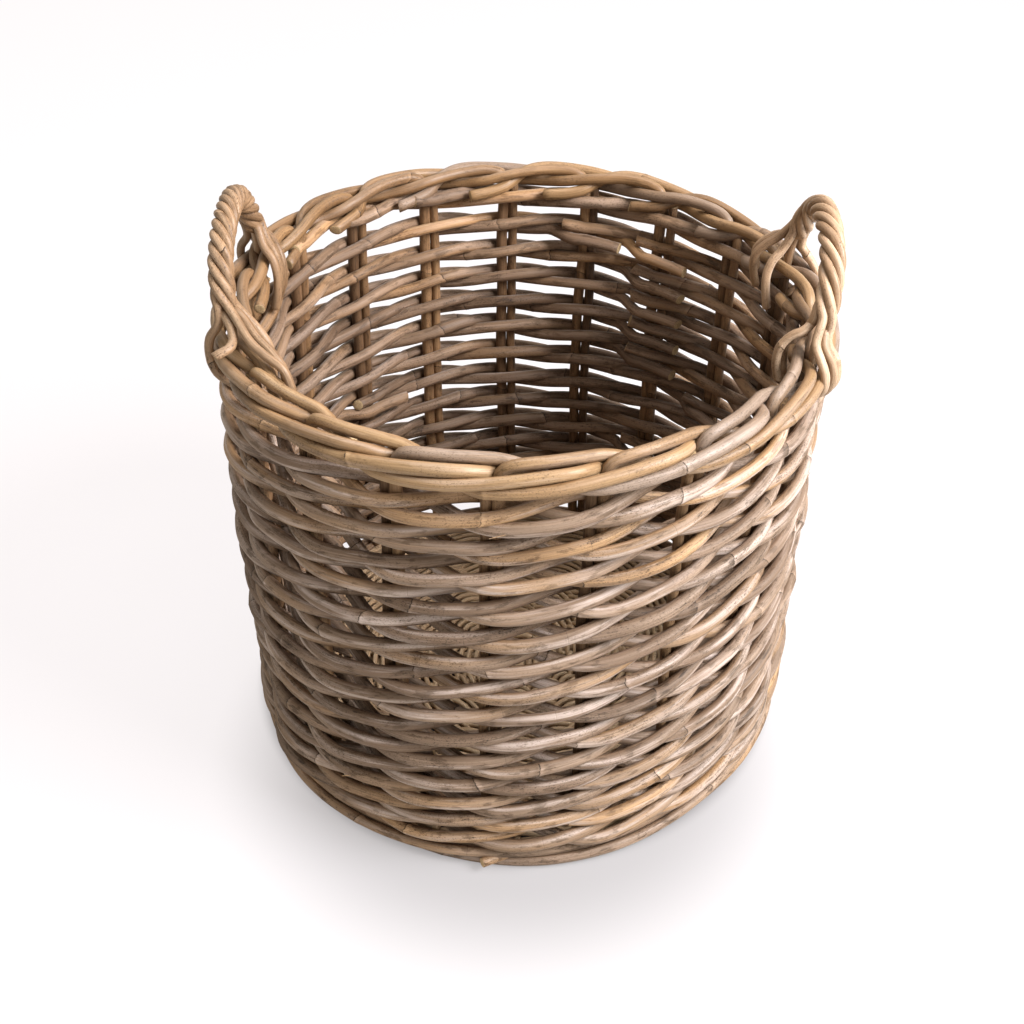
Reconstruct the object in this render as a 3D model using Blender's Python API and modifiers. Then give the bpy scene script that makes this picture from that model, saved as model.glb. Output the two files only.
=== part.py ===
"""A round laundry basket of woven rattan, open at the top, with two roped handles.

Pairs of upright rods stand in a ring, and three strands of waling spiral up round them. A woven base on a
cross of sticks sits inside a foot border, the upright ends turn down into a rim border, and each handle is
a bent hoop, driven through the rim, with strands roped round it. +Z is up, the floor is z = 0, the basket's
axis is the Z axis, and the handles are at +X and -X.
"""

import math

import bpy
import bmesh
from mathutils import Matrix, Vector

# Driving dimensions, in metres
GAP = 0.0003  # clearance between pieces that touch
STAKE_PAIRS = 19
STAKE_RADIUS = 0.0048
BYE_STAKE_RADIUS = 0.0041
STAKE_CIRCLE_FOOT = 0.2140  # radius of the ring of uprights, at the floor
STAKE_CIRCLE_RIM = 0.2190  # and at the rim
WALING_RADIUS = 0.0048
WALING_SWING = 0.0120  # how far a waling rod stands in or out from the ring of uprights
WALING_ROUNDS = 14
WALING_FIRST_STAKE = 8  # where the first strand starts, behind the left handle
WALING_PACKING = 0.10  # how much tighter than the average the rounds lie at the foot and at the rim
RODS_PER_STRAND = 3  # lengths of rattan spliced end to end in each strand
RIM_TOP = 0.3990
RIM_HEIGHT = 0.0190
RIM_OUTER = 0.2385
RIM_INNER = 0.2075
FOOT_HEIGHT = 0.0260
FOOT_OUTER = 0.2275
FOOT_INNER = 0.1975
RING_STEPS = 48
BASE_RADIUS = 0.1965
BASE_LOW = 0.0030
BASE_PLATE = 0.0052  # thickness of each face of the base's weave
BASE_STICK = 0.0070
BASE_STICK_COUNT = 5
HANDLE_HALF_ANGLE = math.radians(19.0)
HANDLE_LEG_CIRCLE = 0.2225
HANDLE_TOP_CIRCLE = 0.2200
HANDLE_RISE = 0.0690  # from the rim's top to the middle of the rope at its highest
HANDLE_CORE_RADIUS = 0.0039
ROPE_STRANDS = 3
ROPE_STRAND_RADIUS = 0.0032
ROPE_HELIX_RADIUS = 0.0080
ROPE_LAY = 0.0520  # length of one turn of a strand round the hoop
HOLE_CLEARANCE = 0.0004

# Worked out from them
STAKE_STEP = 2.0 * math.pi / STAKE_PAIRS
RIM_BOTTOM = RIM_TOP - RIM_HEIGHT
STRAND_DROP = WALING_RADIUS + GAP / 2.0  # half the height between the two outer rods of a stroke
WALING_HALF_HEIGHT = STRAND_DROP + WALING_RADIUS
STRANDS = 3
WALING_START = FOOT_HEIGHT + GAP + WALING_HALF_HEIGHT
WALING_STOP = RIM_BOTTOM - GAP - WALING_HALF_HEIGHT
STRAND_STAKES = WALING_ROUNDS * STAKE_PAIRS

GREY_RATTAN = (0.33, 0.25, 0.18)
BROWN_RATTAN = (0.22, 0.15, 0.095)
TAN_RATTAN = (0.47, 0.32, 0.19)
CREAM_RATTAN = (0.55, 0.43, 0.29)


def clear_scene():
    for item in list(bpy.data.objects):
        bpy.data.objects.remove(item, do_unlink=True)


def new_collection(name):
    collection = bpy.data.collections.new(name)
    bpy.context.scene.collection.children.link(collection)
    return collection


def rattan(name, colour, roughness=0.6):
    material = bpy.data.materials.new(name)
    material.use_nodes = True
    shader = material.node_tree.nodes["Principled BSDF"]
    shader.inputs["Base Color"].default_value = (*colour, 1.0)
    shader.inputs["Roughness"].default_value = roughness
    shader.inputs["Metallic"].default_value = 0.0
    return material


def on_circle(radius, angle, height):
    return Vector((radius * math.cos(angle), radius * math.sin(angle), height))


def stake_circle(height):
    """Radius of the ring of uprights at this height."""
    share = height / RIM_TOP
    return STAKE_CIRCLE_FOOT + (STAKE_CIRCLE_RIM - STAKE_CIRCLE_FOOT) * share


def interpolate(where, stops, values):
    for low, high, first, last in zip(stops, stops[1:], values, values[1:]):
        if where <= high:
            return first + (last - first) * (where - low) / (high - low)
    return values[-1]


def add_rod(name, points, radius, resolution, colour, collection):
    """A solid rod along the points, with 2 * resolution + 4 sides."""
    curve = bpy.data.curves.new(name, "CURVE")
    curve.dimensions = "3D"
    curve.twist_mode = "Z_UP"
    curve.bevel_depth = radius
    curve.bevel_resolution = resolution
    curve.use_fill_caps = True
    spline = curve.splines.new("POLY")
    spline.points.add(len(points) - 1)
    for slot, point in zip(spline.points, points):
        slot.co = (*point, 1.0)
    rod = bpy.data.objects.new(name, curve)
    rod.data.materials.append(rattan(name, colour))
    collection.objects.link(rod)
    return rod


def add_mesh(name, mesh, colour, collection):
    piece = bpy.data.objects.new(name, mesh)
    piece.data.materials.append(rattan(name, colour))
    collection.objects.link(piece)
    return piece


def add_ring(name, profile, colour, collection):
    """A closed ring turned from a profile of (radius, height), which runs down its outer side."""
    mesh = bpy.data.meshes.new(name)
    corners = [(radius, 0.0, height) for radius, height in profile]
    edges = [(i, (i + 1) % len(corners)) for i in range(len(corners))]
    mesh.from_pydata(corners, edges, [])
    ring = add_mesh(name, mesh, colour, collection)
    screw = ring.modifiers.new("turn", "SCREW")
    screw.steps = RING_STEPS
    screw.render_steps = RING_STEPS
    screw.use_merge_vertices = True
    screw.merge_threshold = 0.0001
    return ring


def add_disc(name, radius, bottom, thickness, colour, collection):
    mesh = bpy.data.meshes.new(name)
    shape = bmesh.new()
    bmesh.ops.create_cone(
        shape, cap_ends=True, segments=RING_STEPS, radius1=radius, radius2=radius, depth=thickness
    )
    shape.to_mesh(mesh)
    shape.free()
    disc = add_mesh(name, mesh, colour, collection)
    disc.location.z = bottom + thickness / 2.0
    return disc


def add_uprights(collection):
    """Each upright is a thick stake with a thin bye-stake beside it, leaning out from the foot to the rim."""
    for index in range(STAKE_PAIRS):
        angle = index * STAKE_STEP
        along = Vector((-math.sin(angle), math.cos(angle), 0.0))
        for name, radius, shift in (
            ("stake", STAKE_RADIUS, BYE_STAKE_RADIUS + GAP / 2.0),
            ("bye_stake", BYE_STAKE_RADIUS, -STAKE_RADIUS - GAP / 2.0),
        ):
            ends = [
                on_circle(stake_circle(height), angle, height) + along * shift
                for height in (FOOT_HEIGHT + GAP, RIM_BOTTOM - GAP)
            ]
            add_rod(f"{name}_{index + 1:02d}", ends, radius, 2, BROWN_RATTAN, collection)


# One stroke of three-rod waling, over three stakes. The rod passes inside the first one, comes out below
# the other two strands, passes outside the next two while it rises over them, and goes back in above them.
STROKE = (0.0, 0.5, 1.0, 2.0, 2.5, 3.0)
STROKE_OUT = (-1.0, 0.0, 1.0, 1.0, 0.0, -1.0)
STROKE_UP = (0.0, -1.0, -1.0, 1.0, 1.0, 0.0)


def waling_point(stakes_passed, strand):
    """Where a strand is after passing this many stakes: it winds up the wall as it goes."""
    place = strand + stakes_passed
    share = place / (STRAND_STAKES + STRANDS - 1)
    packed = share - WALING_PACKING * math.sin(2.0 * math.pi * share) / (2.0 * math.pi)
    middle = WALING_START + (WALING_STOP - WALING_START) * packed
    within = stakes_passed % STROKE[-1]
    out = WALING_SWING * interpolate(within, STROKE, STROKE_OUT)
    up = STRAND_DROP * interpolate(within, STROKE, STROKE_UP)
    angle = (WALING_FIRST_STAKE + place) * STAKE_STEP
    return on_circle(stake_circle(middle) + out, angle, middle + up)


def add_waling(collection):
    splice = 0.02  # how far each rod stops short of the next, in stake spacings
    strokes = STRAND_STAKES // 3
    colours = (GREY_RATTAN, TAN_RATTAN, BROWN_RATTAN)
    for strand in range(STRANDS):
        for length in range(RODS_PER_STRAND):
            first = 3 * round(strokes * length / RODS_PER_STRAND)
            last = 3 * round(strokes * (length + 1) / RODS_PER_STRAND)
            passed = [first + splice]
            for stroke in range(first, last, 3):
                passed += [stroke + stop for stop in STROKE[1:]]
            passed[-1] -= splice
            points = [waling_point(stakes, strand) for stakes in passed]
            name = f"waling_rod_{strand * RODS_PER_STRAND + length + 1:02d}"
            add_rod(name, points, WALING_RADIUS, 0, colours[strand], collection)


def ring_profile(inner, outer, bottom, top, round_in, round_up):
    """A rounded section, from the top outer corner down the outer side and round."""
    return [
        (outer - round_in, top),
        (outer, top - round_up),
        (outer, bottom + round_up),
        (outer - round_in, bottom),
        (inner + round_in, bottom),
        (inner, bottom + round_up),
        (inner, top - round_up),
        (inner + round_in, top),
    ]


def add_borders(collection):
    rim_section = ring_profile(RIM_INNER, RIM_OUTER, RIM_BOTTOM, RIM_TOP, 0.0050, 0.0060)
    rim = add_ring("rim_border", rim_section, TAN_RATTAN, collection)
    foot_section = ring_profile(FOOT_INNER, FOOT_OUTER, 0.0, FOOT_HEIGHT, 0.0030, 0.0045)
    add_ring("foot_border", foot_section, BROWN_RATTAN, collection)
    return rim


def add_base(collection, cutters):
    """Sticks that cross at the middle, between the lower and the upper face of the base's weave."""
    stick_low = BASE_LOW + BASE_PLATE + GAP
    top_low = stick_low + BASE_STICK + GAP
    add_disc("base_weave_lower", BASE_RADIUS, BASE_LOW, BASE_PLATE, CREAM_RATTAN, collection)
    add_disc("base_weave_upper", BASE_RADIUS, top_low, BASE_PLATE, CREAM_RATTAN, collection)

    size = (2.0 * BASE_RADIUS - 0.002, BASE_STICK, BASE_STICK)
    middle = Vector((0.0, 0.0, stick_low + BASE_STICK / 2.0))
    cross = None
    for index in range(BASE_STICK_COUNT):
        mesh = bpy.data.meshes.new("base_cross")
        shape = bmesh.new()
        bmesh.ops.create_cube(shape, size=1.0, matrix=Matrix.Diagonal((*size, 1.0)))
        shape.to_mesh(mesh)
        shape.free()
        stick = add_mesh("base_cross", mesh, BROWN_RATTAN, cutters if cross else collection)
        stick.location = middle
        stick.rotation_euler.z = math.pi * index / BASE_STICK_COUNT
        if cross is None:
            cross = stick
            continue
        stick.name = f"base_stick_{index}"
        stick.hide_render = True
        stick.display_type = "WIRE"
        join = cross.modifiers.new(f"join_{index}", "BOOLEAN")
        join.operation = "UNION"
        join.solver = "EXACT"
        join.object = stick


def hoop_line(steps):
    """The middle of the right handle's rope, as an arch from the rim's top to the rim's top."""
    half_span = HANDLE_LEG_CIRCLE * math.sin(HANDLE_HALF_ANGLE)
    leg_x = HANDLE_LEG_CIRCLE * math.cos(HANDLE_HALF_ANGLE)
    points = []
    for step in range(steps + 1):
        turn = math.pi * step / steps
        side = math.cos(turn)
        rise = math.sin(turn) if 0 < step < steps else 0.0
        points.append(
            Vector(
                (
                    leg_x + (HANDLE_TOP_CIRCLE - leg_x) * rise,
                    -half_span * side,
                    RIM_TOP + HANDLE_RISE * rise,
                )
            )
        )
    return points


def at_length(line, reach):
    """The point and the direction this far along a line of points."""
    for start, end in zip(line, line[1:]):
        step = (end - start).length
        if reach <= step:
            return start + (end - start) * (reach / step), (end - start).normalized()
        reach -= step
    return line[-1], (line[-1] - line[-2]).normalized()


def rope_strand(line, phase):
    """A left-handed helix round the hoop, which stops clear of the rim at both ends."""
    total = sum((end - start).length for start, end in zip(line, line[1:]))
    clear = ROPE_STRAND_RADIUS + 2.0 * GAP
    count = round(8 * (total - 2.0 * clear) / ROPE_LAY)
    points = []
    for index in range(count + 1):
        reach = clear + (total - 2.0 * clear) * index / count
        middle, along = at_length(line, reach)
        turn = phase - 2.0 * math.pi * reach / ROPE_LAY
        outward = Vector((1.0, 0.0, 0.0))
        outward = (outward - along * outward.dot(along)).normalized()
        across = along.cross(outward)
        points.append(middle + (outward * math.cos(turn) + across * math.sin(turn)) * ROPE_HELIX_RADIUS)
    return points


def to_mesh_object(rod):
    """The rod as a welded mesh, so that a Boolean can use it."""
    graph = bpy.context.evaluated_depsgraph_get()
    mesh = bpy.data.meshes.new_from_object(rod.evaluated_get(graph))
    shape = bmesh.new()
    shape.from_mesh(mesh)
    bmesh.ops.remove_doubles(shape, verts=shape.verts, dist=0.00001)
    shape.to_mesh(mesh)
    shape.free()
    name = rod.name
    collections = list(rod.users_collection)
    place = rod.matrix_world.copy()
    bpy.data.objects.remove(rod, do_unlink=True)
    piece = bpy.data.objects.new(name, mesh)
    piece.matrix_world = place
    for collection in collections:
        collection.objects.link(piece)
    return piece


def add_handles(collection, cutters, rim):
    arch = hoop_line(14)
    foot_low = Vector((0.0, 0.0, RIM_BOTTOM + GAP - RIM_TOP))
    hoop = [arch[0] + foot_low] + arch + [arch[-1] + foot_low]
    line = hoop_line(96)
    for side, turn in (("right", 0.0), ("left", math.pi)):
        spin = Matrix.Rotation(turn, 3, "Z")
        core = [spin @ point for point in hoop]
        add_rod(f"{side}_handle_hoop", core, HANDLE_CORE_RADIUS, 2, TAN_RATTAN, collection)
        for strand in range(ROPE_STRANDS):
            points = rope_strand(line, 2.0 * math.pi * strand / ROPE_STRANDS)
            name = f"{side}_handle_strand_{strand + 1}"
            add_rod(name, [spin @ p for p in points], ROPE_STRAND_RADIUS, 0, TAN_RATTAN, collection)
        for end, leg in (("near", core[0]), ("far", core[-1])):
            past = Vector((0.0, 0.0, 0.005))
            ends = [leg - past, leg - foot_low + past]
            radius = HANDLE_CORE_RADIUS + HOLE_CLEARANCE
            drill = add_rod(f"{side}_{end}_hole", ends, radius, 2, TAN_RATTAN, cutters)
            drill = to_mesh_object(drill)
            drill.hide_render = True
            drill.display_type = "WIRE"
            hole = rim.modifiers.new(drill.name, "BOOLEAN")
            hole.operation = "DIFFERENCE"
            hole.solver = "EXACT"
            hole.object = drill


def main():
    clear_scene()
    basket = new_collection("laundry_basket")
    cutters = new_collection("cutters")
    add_uprights(basket)
    add_waling(basket)
    rim = add_borders(basket)
    add_base(basket, cutters)
    add_handles(basket, cutters, rim)


main()
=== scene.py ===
"""The visual model of a round laundry basket woven of rattan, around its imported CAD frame.

Every rod is a mesh tube swept along its own woven path: upright stakes in pairs, three strands of waling
that spiral up round them, a three-rod plain border made by the stakes' turned-down ends, a rolled foot, a
twined base on crossed sticks, and two roped handles. +Z is up, the floor is z = 0 and sizes are in metres
where no comment says otherwise. Along the wall, a place is counted in stakes: stake 0 stands at +X and the
count runs counter-clockwise seen from above.
"""

import math
import random

import bpy
import numpy as np
from mathutils import Matrix, Vector


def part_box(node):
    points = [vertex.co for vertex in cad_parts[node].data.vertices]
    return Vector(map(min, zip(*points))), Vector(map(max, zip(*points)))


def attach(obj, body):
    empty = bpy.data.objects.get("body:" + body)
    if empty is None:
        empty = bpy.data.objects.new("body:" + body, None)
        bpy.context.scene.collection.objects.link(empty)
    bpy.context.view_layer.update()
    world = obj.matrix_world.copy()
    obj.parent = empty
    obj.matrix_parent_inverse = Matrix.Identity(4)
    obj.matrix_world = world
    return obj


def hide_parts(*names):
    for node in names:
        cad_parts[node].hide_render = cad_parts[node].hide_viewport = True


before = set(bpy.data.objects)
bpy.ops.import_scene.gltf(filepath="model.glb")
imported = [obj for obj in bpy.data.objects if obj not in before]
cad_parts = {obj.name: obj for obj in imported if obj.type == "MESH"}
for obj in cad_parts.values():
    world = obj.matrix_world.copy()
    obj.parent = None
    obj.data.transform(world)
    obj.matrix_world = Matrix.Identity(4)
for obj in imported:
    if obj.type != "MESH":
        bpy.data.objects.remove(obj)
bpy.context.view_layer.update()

# Driving dimensions, read from the frame
STAKES = sum(name.startswith("stake_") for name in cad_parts)
STEP = 2.0 * math.pi / STAKES
STAKE_LOW, STAKE_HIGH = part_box("stake_01")
BYE_LOW, BYE_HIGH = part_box("bye_stake_01")
RIM_LOW, RIM_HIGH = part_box("rim_border")
FOOT_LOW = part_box("foot_border")[0]
HOOP_LOW, HOOP_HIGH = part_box("right_handle_hoop")
CROSS_LOW, CROSS_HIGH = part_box("base_cross")
STAKE_RADIUS = (STAKE_HIGH[1] - STAKE_LOW[1]) / 2.0
BYE_RADIUS = (BYE_HIGH[1] - BYE_LOW[1]) / 2.0
FOOT_CIRCLE = STAKE_LOW[0] + STAKE_RADIUS  # of the ring of stakes, at the top of the foot border
RIM_CIRCLE = STAKE_HIGH[0] - STAKE_RADIUS  # and at the bottom of the rim border
RIM_TOP = RIM_HIGH[2]

# Details that the frame leaves open
HOOP_RADIUS = 0.0039
ROD_RADIUS = 0.0051
BORDER_ROD_RADIUS = 0.0046
ROUNDS = 14
STRANDS = 3
STROKE = 3  # stakes that a strand passes in one stroke: inside one, outside two
STRAND_STAKES = STROKE * (ROUNDS * STAKES // STROKE)
FIRST_STAKE = 8  # where the first strand of waling starts
POINTS_PER_STAKE = 14

rng = random.Random(19)


# ---------------------------------------------------------------- lines

ANY_PHASE = (0.0, 6.3)
WANDER_WAVES = 5


def wander(size, longest, shortest):
    """A smooth random wander of about this size, as a function of the distance along something."""
    parts = []
    for wave in range(WANDER_WAVES):
        length = longest * (shortest / longest) ** (wave / (WANDER_WAVES - 1))
        height = size * rng.uniform(0.4, 0.9) * (length / longest) ** 0.5
        parts.append((height, length, rng.uniform(*ANY_PHASE)))

    def at(where):
        return sum(height * np.sin(2.0 * np.pi * where / length + phase) for height, length, phase in parts)

    return at


def eased(share):
    """A smooth step, for a share from 0 to 1."""
    return share * share * (3.0 - 2.0 * share)


def between(t, low, high, first, last):
    """What runs evenly from the first, where t is low, to the last, where t is high."""
    return (high - t) / (high - low) * first + (t - low) / (high - low) * last


def smooth_line(points, per_span=14):
    """A centripetal Catmull-Rom line through the points, which keeps sharp bends tight."""
    points = np.array(points, dtype=float)
    points = np.vstack([2.0 * points[0] - points[1], points, 2.0 * points[-1] - points[-2]])
    line = []
    for before, start, end, after in zip(points, points[1:], points[2:], points[3:]):
        spans = ((before, start), (start, end), (end, after))
        k0, k1, k2, k3 = np.cumsum([0.0] + [np.linalg.norm(b - a) ** 0.5 + 1e-9 for a, b in spans])
        t = np.linspace(k1, k2, per_span, endpoint=False)[:, None]
        a1 = between(t, k0, k1, before, start)
        a2 = between(t, k1, k2, start, end)
        a3 = between(t, k2, k3, end, after)
        b1 = between(t, k0, k2, a1, a2)
        b2 = between(t, k1, k3, a2, a3)
        line.append(between(t, k1, k2, b1, b2))
    line.append(points[-2][None, :])
    return np.vstack(line)


def distances(line):
    """How far along the line each of its points lies."""
    return np.concatenate([[0.0], np.cumsum(np.linalg.norm(np.diff(line, axis=0), axis=1))])


def points_at(line, reach, wanted):
    """Points of the line at the wanted distances, where reach holds the distances of its own points."""
    return np.stack([np.interp(wanted, reach, line[:, axis]) for axis in range(3)], axis=-1)


def on_wall(places, radii, heights):
    """Points at these places, counted in stakes, and these radii and heights."""
    places, radii, heights = np.broadcast_arrays(
        np.asarray(places, float), np.asarray(radii, float), np.asarray(heights, float)
    )
    angles = places * STEP
    return np.stack([radii * np.cos(angles), radii * np.sin(angles), heights], axis=-1)


def stake_circle(height):
    """Radius of the ring of stakes at this height."""
    share = (height - STAKE_LOW[2]) / (STAKE_HIGH[2] - STAKE_LOW[2])
    return FOOT_CIRCLE + (RIM_CIRCLE - FOOT_CIRCLE) * share


SKEWED_HEIGHT = 0.24  # below this the basket stands a little further to +X
SKEW = 0.0068  # and by this much at the floor
FOOT_BULGE, FOOT_BULGE_TOWARDS = 0.0110, math.radians(238.0)
BELLY, BELLY_TOWARDS = 0.0040, math.radians(185.0)
BELLY_FROM, BELLY_HEIGHT = 0.10, 0.25


def settle(points):
    """The basket's own unevenness, the same for all that is woven together."""
    points = np.array(points, dtype=float)
    radius = np.hypot(points[:, 0], points[:, 1])
    angle = np.arctan2(points[:, 1], points[:, 0])
    height = points[:, 2]
    full = np.clip(radius / FOOT_CIRCLE, 0.0, 1.0) ** 2
    uneven = 0.0012 * np.sin(2.0 * angle + 0.7) + 0.0010 * np.sin(3.0 * angle + 9.0 * height)
    uneven += 0.0008 * np.sin(5.0 * angle - 14.0 * height + 2.0)
    low = np.clip(1.0 - height / SKEWED_HEIGHT, 0.0, 1.0) ** 1.5
    to_foot_bulge = np.clip(np.cos(angle - FOOT_BULGE_TOWARDS), 0.0, 1.0) ** 2
    belly = np.sin(np.pi * np.clip((height - BELLY_FROM) / BELLY_HEIGHT, 0.0, 1.0))
    to_belly = np.clip(np.cos(angle - BELLY_TOWARDS), 0.0, 1.0)
    radius = radius + full * (uneven + FOOT_BULGE * low * to_foot_bulge + BELLY * belly * to_belly)
    lift = 0.0016 * np.sin(2.0 * angle + 1.1 + 5.0 * height) + 0.0010 * np.sin(5.0 * angle + 21.0 * height)
    lift *= np.sin(np.pi * np.clip(height / RIM_TOP, 0.0, 0.75)) * full
    return np.stack([radius * np.cos(angle) + SKEW * low, radius * np.sin(angle), height + lift], axis=-1)


# ---------------------------------------------------------------- rods as meshes

SIDES = 12
RING_SPACING = 0.0065
CLOSEST_RINGS = 0.0007
KNOT_RINGS = (-0.007, -0.0035, -0.0014, -0.0004, 0.0004, 0.0014, 0.0035, 0.007)
KNOT_REACH = 0.03  # further from a growth ring than this, the skin doesn't show it
PLAIN_END = 0.01  # of a rod, without growth rings
END_RINGS = ((0.93, 0.00025), (0.50, 0.00040))  # of a cut end: share of the thickness, and how far out
THICKNESS_WANDER, OVALNESS = 0.022, 0.03  # as shares of a rod's thickness
RING_SWELL, RING_SWELL_REACH = 0.055, 0.0045  # round a growth ring
RING_RIDGE, RING_RIDGE_REACH = 0.03, 0.0009  # right at it
CANE_LENGTH = 3.0  # each rod is cut from its own place along a cane this long
SPLINTER_RADIUS = 0.00022
NO_KNOTS = (9.0, 9.1)  # growth rings so far apart that a short fibre has none


def growth_rings(total, apart):
    """Places of the growth rings along a rod of this total length."""
    rings = []
    where = rng.uniform(0.0, apart[1])
    while where < total - PLAIN_END:
        if where > PLAIN_END:
            rings.append(where)
        where += rng.uniform(*apart)
    return rings


def mesh_stations(total, spacing, rings):
    """Where along a rod its mesh has rings of points: evenly, and closer together at its growth rings."""
    stations = list(np.linspace(0.0, total, max(3, int(round(total / spacing)))))
    if spacing <= RING_SPACING:
        stations += [ring + shift for ring in rings for shift in KNOT_RINGS]
    stations = np.sort([station for station in stations if 0.0 <= station <= total])
    keep = [0]
    for index in range(1, len(stations)):
        if stations[index] - stations[keep[-1]] > CLOSEST_RINGS:
            keep.append(index)
    return stations[keep]


def nearest_ring(stations, rings):
    """Signed distance from each station to the growth ring nearest to it."""
    nearest = np.full(len(stations), 1.0)
    for ring in rings:
        gap = stations - ring
        nearest = np.where(np.abs(gap) < np.abs(nearest), gap, nearest)
    return nearest


def steady_normals(along):
    """Normals to these directions that turn as little as they can from one to the next."""
    normal = Vector(along[0]).orthogonal().normalized()
    normals = []
    for direction in along:
        direction = Vector(direction)
        normal = (normal - direction * normal.dot(direction)).normalized()
        normals.append(tuple(normal))
    return np.array(normals)


def tube_faces(count, sides):
    """The faces between this many rings of points."""
    faces = []
    for ring in range(count - 1):
        here, there = ring * sides, (ring + 1) * sides
        for side in range(sides):
            after = (side + 1) % sides
            faces.append((here + side, here + after, there + after, there + side))
    return faces


def cut_end(rim, out, corners, next_corner, is_last):
    """The points of a cut end, as rings inside the rod's first or last ring, and the faces that close it."""
    middle = rim.mean(axis=0)
    rings, faces = [], []
    for share, push in END_RINGS:
        rings.append(middle + (rim - middle) * share + out * push)
        inner = list(range(next_corner, next_corner + len(rim)))
        next_corner += len(rim)
        for side in range(len(rim)):
            after = (side + 1) % len(rim)
            quad = (corners[side], corners[after], inner[after], inner[side])
            faces.append(quad if is_last else quad[::-1])
        corners = inner
    faces.append(tuple(corners) if is_last else tuple(reversed(corners)))
    return rings, faces


class Piece:
    """Gathers rods, then makes one mesh object of them that stands for CAD nodes."""

    def __init__(self, name, material, nodes):
        self.name = name
        self.material = material
        self.nodes = nodes
        self.points = []
        self.faces = []
        self.count = 0
        self.marks = {"rod_space": [], "knot": [], "cut": [], "tone": [], "shade": [], "outer": []}

    def add(self, points, faces, **marks):
        self.points.append(points)
        self.faces.extend([tuple(corner + self.count for corner in face) for face in faces])
        self.count += len(points)
        for name, values in marks.items():
            self.marks[name].append(values)

    def rod(self, line, radius, tone=0.5, shade=0.0, slants=(0.0, 0.0), knots=(0.15, 0.36), sides=SIDES,
            spacing=RING_SPACING, taper=0.0, drift=0.09):
        """A rattan rod along the line, a little uneven, with its growth rings and both ends cut.

        Its points carry marks for the material: the place in the rod's own space, the distance to the
        nearest growth ring, whether they are on a cut end, the tone and shade, and how far they face out.
        """
        line = np.asarray(line, dtype=float)
        reach = distances(line)
        total = reach[-1]
        rings = growth_rings(total, knots)
        stations = mesh_stations(total, spacing, rings)
        count = len(stations)
        centres = points_at(line, reach, stations)
        small = min(0.0015, total * 0.2)
        along = points_at(line, reach, np.minimum(stations + small, total))
        along -= points_at(line, reach, np.maximum(stations - small, 0.0))
        along /= np.linalg.norm(along, axis=1)[:, None]
        normals = steady_normals(along)
        others = np.cross(along, normals)

        nearest = nearest_ring(stations, rings)
        thickness = wander(THICKNESS_WANDER, 0.35, 0.03)(stations + 10.0 * rng.random())
        swell = RING_SWELL * np.exp(-((nearest / RING_SWELL_REACH) ** 2))
        swell += RING_RIDGE * np.exp(-((nearest / RING_RIDGE_REACH) ** 2))
        radii = radius * (1.0 + thickness + swell + taper * (stations / total - 0.5))
        turns = 2.0 * np.pi * np.arange(sides) / sides
        oval = OVALNESS * np.cos(2.0 * (turns[None, :] - rng.uniform(*ANY_PHASE) - 2.0 * stations[:, None]))
        radii = radii[:, None] * (1.0 + oval)
        across = np.cos(turns)[None, :] * radii
        beside = np.sin(turns)[None, :] * radii
        body = centres[:, None, :] + across[..., None] * normals[:, None, :]
        body = body + beside[..., None] * others[:, None, :]
        for end, slant in ((0, slants[0]), (-1, slants[1])):
            body[end] += (slant * across[end])[:, None] * along[end][None, :]

        start_in_cane = CANE_LENGTH * rng.random()
        tones = tone + wander(drift, 0.9, 0.10)(stations)
        shades = shade + wander(2.0 * drift, 0.7, 0.08)(stations)
        in_cane = np.broadcast_to((stations + start_in_cane)[:, None], across.shape)
        space = np.stack([across, beside, in_cane], axis=-1)
        radial = centres * np.array([1.0, 1.0, 0.0])
        radial /= np.linalg.norm(radial, axis=1)[:, None] + 1e-6
        # how far each point faces out of the basket, which the material uses to paint shade on the faces that
        # look in
        outer = 0.5 + 0.5 * np.einsum("ijk,ik->ij", body - centres[:, None, :], radial) / radii

        points = [body.reshape(-1, 3)]
        spaces = [space.reshape(-1, 3)]
        faces = tube_faces(count, sides)
        next_corner = count * sides
        for end, out in ((0, -along[0]), (count - 1, along[-1])):
            corners = [end * sides + side for side in range(sides)]
            rings, end_faces = cut_end(body[end], out, corners, next_corner, is_last=end > 0)
            points += rings
            spaces += [space[end] * np.array([share, share, 1.0]) for share, _ in END_RINGS]
            faces += end_faces
            next_corner += len(END_RINGS) * sides
        on_ends = 2 * len(END_RINGS) * sides
        knot = np.repeat(np.clip(nearest, -KNOT_REACH, KNOT_REACH), sides)
        self.add(
            np.vstack(points),
            faces,
            rod_space=np.vstack(spaces),
            knot=np.concatenate([knot, np.full(on_ends, KNOT_REACH)]),
            cut=np.concatenate([np.zeros(count * sides), np.ones(on_ends)]),
            tone=np.concatenate([np.repeat(tones, sides), np.full(on_ends, tone)]),
            shade=np.concatenate([np.repeat(shades, sides), np.full(on_ends, shade)]),
            outer=np.concatenate([np.clip(outer, 0.0, 1.0).ravel(), np.full(on_ends, 0.5)]),
        )

    def splinter(self, start, direction, length):
        """A short loose fibre that stands off a rod."""
        direction = direction / np.linalg.norm(direction)
        bend = np.array([rng.uniform(-1, 1) for _ in range(3)]) * length * 0.25
        middle = start + direction * length * 0.5 + bend * 0.5
        line = smooth_line([start, middle, start + direction * length + bend])
        self.rod(line, SPLINTER_RADIUS, tone=0.9, shade=0.6, sides=4, spacing=0.003, knots=NO_KNOTS)

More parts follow.
